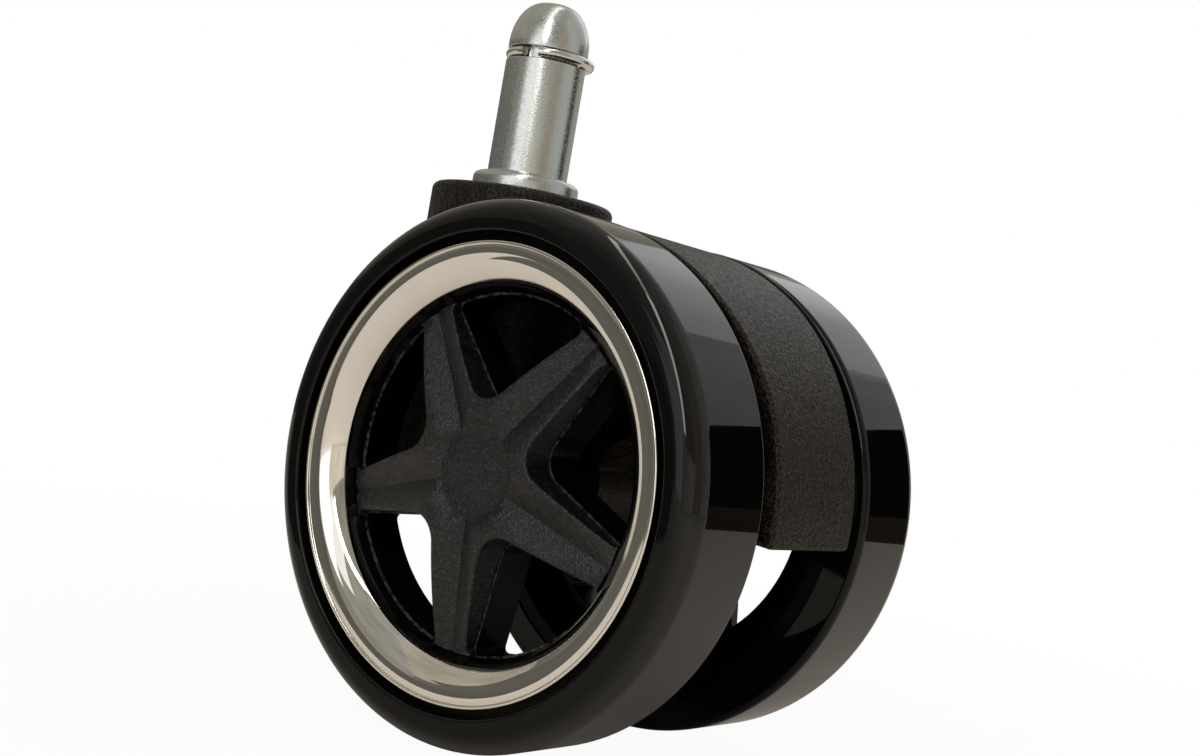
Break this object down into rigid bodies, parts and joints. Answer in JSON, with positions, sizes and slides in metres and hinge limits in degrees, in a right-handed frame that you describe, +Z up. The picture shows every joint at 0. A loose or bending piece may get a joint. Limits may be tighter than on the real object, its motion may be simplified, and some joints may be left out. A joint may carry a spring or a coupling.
{
  "type": "office chair castor",
  "caption": "Hooded swivel castor for an office chair: paired star-spoked wheels with dished bright trim rings, gloss tyres and a round friction-ring stem.",
  "frame": {"origin": "on the stem's axis, at the top face of its flange", "axes": "+Z up the stem; +X from the stem towards the axle and the hood's tail; Y along the axle, with the left wheel at -Y"},
  "size_m": [0.066, 0.0522, 0.095],
  "materials": {
    "zinc_plated_steel": "bright zinc plate",
    "spring_steel": "polished spring wire",
    "axle_steel": "ground steel",
    "acetal": "plain moulded",
    "textured_nylon": "fine moulded grain",
    "gloss_nylon": "gloss black",
    "matte_cover": "matte moulded grain",
    "chrome_trim": "bright chrome plate",
    "polyurethane": "polished gloss black"
  },
  "bodies": {
    "stem": {"stem": "zinc_plated_steel", "grip_ring": "spring_steel", "stem_retaining_ring": "spring_steel"},
    "housing": {"housing": "textured_nylon", "swivel_bush": "acetal", "axle": "axle_steel", "left_spacer_washer": "axle_steel", "right_spacer_washer": "axle_steel", "left_axle_clip": "spring_steel", "right_axle_clip": "spring_steel"},
    "left_wheel": {"left_tyre": "polyurethane", "left_rim": "gloss_nylon", "left_star_cover": "matte_cover", "left_trim_ring": "chrome_trim", "left_hub_bush": "acetal"},
    "right_wheel": {"right_tyre": "polyurethane", "right_rim": "gloss_nylon", "right_star_cover": "matte_cover", "right_trim_ring": "chrome_trim", "right_hub_bush": "acetal"}
  },
  "joints": [
    {"name": "swivel", "type": "hinge", "parent": "stem", "child": "housing", "pos_m": [0, 0, 0], "axis": [0, 0, 1], "continuous": true},
    {"name": "left_wheel_spin", "type": "hinge", "parent": "housing", "child": "left_wheel", "pos_m": [0.021, -0.019, -0.0385], "axis": [0, 1, 0], "continuous": true},
    {"name": "right_wheel_spin", "type": "hinge", "parent": "housing", "child": "right_wheel", "pos_m": [0.021, 0.019, -0.0385], "axis": [0, 1, 0], "continuous": true}
  ]
}
